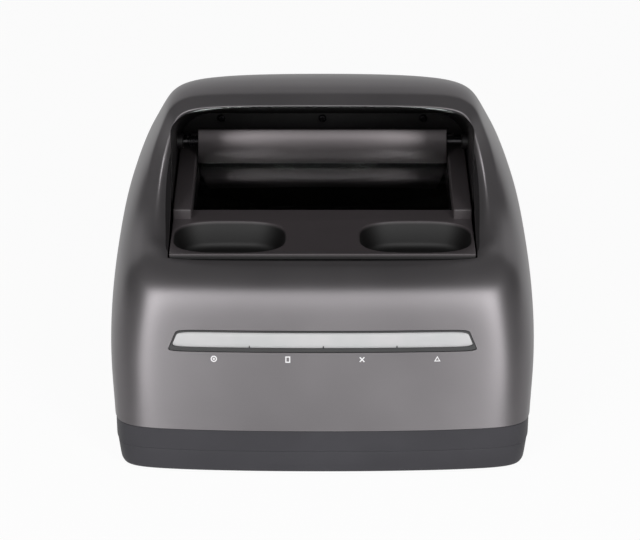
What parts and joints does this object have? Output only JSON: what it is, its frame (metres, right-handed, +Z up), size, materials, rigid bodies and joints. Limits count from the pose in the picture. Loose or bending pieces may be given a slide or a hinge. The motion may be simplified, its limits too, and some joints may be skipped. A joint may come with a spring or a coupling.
{
  "type": "passport reader",
  "caption": "Desktop full-page passport reader with a hooded document cavity, hinged hold-down flap, finger scoops, status light bar and rear power rocker.",
  "frame": {"origin": "under the middle of the object's bounding box, on the surface that its feet rest on", "axes": "+Z up; -Y is the front with the light bar, which the user faces; +X is on the user's right"},
  "size_m": [0.2034, 0.2076, 0.1603],
  "materials": {
    "shell_paint": "smooth moulded plastic with a satin warm grey metallic paint",
    "base_plastic": "finely textured dark grey moulded plastic",
    "foot_rubber": "soft black rubber",
    "tray_plastic": "finely textured dark grey moulded plastic",
    "platen_glass": "clear polished glass",
    "gasket_rubber": "black foam rubber",
    "board_laminate": "green solder mask on glass fibre laminate",
    "white_board": "white solder mask on laminate",
    "black_plastic": "flat black moulded plastic",
    "mirror_glass": "front silvered mirror",
    "spring_steel": "bare spring steel",
    "bracket_aluminium": "folded aluminium sheet",
    "barrel_aluminium": "black anodised aluminium",
    "ribbon_film": "amber polyimide film",
    "lead_film": "grey flat cable",
    "socket_steel": "plated steel",
    "rocker_plastic": "polished black plastic",
    "liner_plastic": "flat black moulded plastic",
    "black_screw_steel": "blackened steel",
    "screw_steel": "zinc plated steel",
    "flap_plastic": "polished smoke grey plastic",
    "shaft_steel": "ground steel",
    "bezel_plastic": "black moulded plastic",
    "lens_plastic": "milky translucent plastic",
    "white_plastic": "white moulded plastic",
    "plate_film": "silver grey polyester film, left blank"
  },
  "bodies": {
    "reader": {"antenna_board": "board_laminate", "base_screw_back_left": "screw_steel", "base_screw_back_right": "screw_steel", "base_screw_front_left": "screw_steel", "base_screw_front_right": "screw_steel", "base_tray": "base_plastic", "bracket_screw_1": "screw_steel", "bracket_screw_2": "screw_steel", "camera_board": "board_laminate", "camera_bracket": "bracket_aluminium", "camera_hood": "black_plastic", "camera_ribbon": "ribbon_film", "cavity_liner": "liner_plastic", "document_tray": "tray_plastic", "flap_shaft": "shaft_steel", "flap_spring": "spring_steel", "fold_mirror": "mirror_glass", "housing_screw_1": "screw_steel", "housing_screw_2": "screw_steel", "indicator_board": "board_laminate", "indicator_cable": "lead_film", "io_board": "board_laminate", "io_board_screw_1": "screw_steel", "io_board_screw_2": "screw_steel", "lens_barrel": "barrel_aluminium", "light_bar_bezel": "bezel_plastic", "light_board_left": "white_board", "light_board_right": "white_board", "light_divider": "white_plastic", "liner_screw_1": "black_screw_steel", "liner_screw_2": "black_screw_steel", "liner_screw_3": "black_screw_steel", "main_board": "board_laminate", "main_board_screw_1": "screw_steel", "main_board_screw_2": "screw_steel", "main_board_screw_3": "screw_steel", "main_board_screw_4": "screw_steel", "mirror_clip_left": "spring_steel", "mirror_clip_right": "spring_steel", "optics_housing": "black_plastic", "platen_gasket": "gasket_rubber", "platen_glass": "platen_glass", "power_inlet": "black_plastic", "rating_plate": "plate_film", "rear_panel": "black_plastic", "rubber_foot_back_left": "foot_rubber", "rubber_foot_back_right": "foot_rubber", "rubber_foot_front_left": "foot_rubber", "rubber_foot_front_right": "foot_rubber", "status_lens": "lens_plastic", "switch_body": "black_plastic", "upper_shell": "shell_paint", "usb_socket": "socket_steel"},
    "flap": {"hold_down_flap": "flap_plastic"},
    "rocker": {"power_rocker": "rocker_plastic"}
  },
  "joints": [
    {"name": "flap_hinge", "type": "hinge", "parent": "reader", "child": "flap", "pos_m": [0, 0.058, 0.1092], "axis": [1, 0, 0], "range_deg": [0, 35], "stiffness_Nm_per_rad": 0.002, "springref_deg": -20.05},
    {"name": "rocker_tilt", "type": "hinge", "parent": "reader", "child": "rocker", "pos_m": [0.02, 0.09902, 0.01525], "axis": [0, 0, 1], "range_deg": [-8, 8]}
  ]
}
